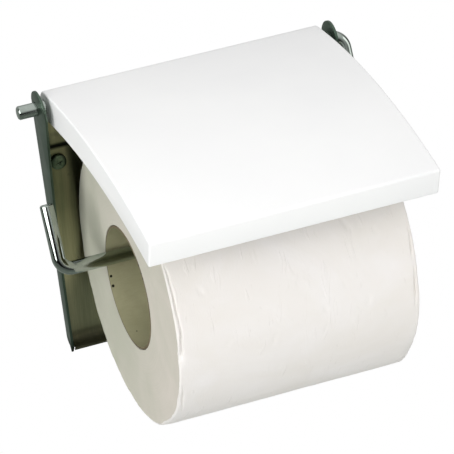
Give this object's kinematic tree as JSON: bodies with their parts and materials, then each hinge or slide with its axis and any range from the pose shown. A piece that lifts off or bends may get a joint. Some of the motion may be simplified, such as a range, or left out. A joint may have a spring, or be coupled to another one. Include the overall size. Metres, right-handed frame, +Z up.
{
  "type": "toilet paper holder",
  "caption": "Wall toilet paper holder: a pressed steel plate with two ears, a bent chrome wire that carries the roll, and a curved white lid board that rests on it.",
  "frame": {"origin": "centre of the wall plate's flat back, on the wall", "axes": "+Y into the wall, +Z up, +X to the right as seen from the room"},
  "size_m": [0.137, 0.119, 0.1252],
  "materials": {
    "pressed_steel": "bright pressed sheet",
    "screw_steel": "plated",
    "chrome_wire": "polished plate",
    "white_paint": "satin white paint over fibreboard",
    "tissue_paper": "soft embossed tissue",
    "grey_cardboard": "spiral wound grey board"
  },
  "bodies": {
    "wall_bracket": {"wall_plate": "pressed_steel", "wall_screw_left": "screw_steel", "wall_screw_right": "screw_steel"},
    "hanger": {"wire_hanger": "chrome_wire"},
    "lid_board": {"lid": "white_paint"},
    "roll": {"paper_roll": "tissue_paper", "cardboard_core": "grey_cardboard"}
  },
  "joints": [
    {"name": "hanger_swing", "type": "hinge", "parent": "wall_bracket", "child": "hanger", "pos_m": [0, -0.0064, 0.059], "axis": [-1, 0, 0], "range_deg": [0, 15]},
    {"name": "lid_flip", "type": "hinge", "parent": "hanger", "child": "lid_board", "pos_m": [0, -0.0064, 0.059], "axis": [-1, 0, 0], "range_deg": [0, 65]},
    {"name": "roll_spin", "type": "hinge", "parent": "hanger", "child": "roll", "pos_m": [0.003, -0.0558, 0.00245], "axis": [-1, 0, 0], "continuous": true}
  ]
}
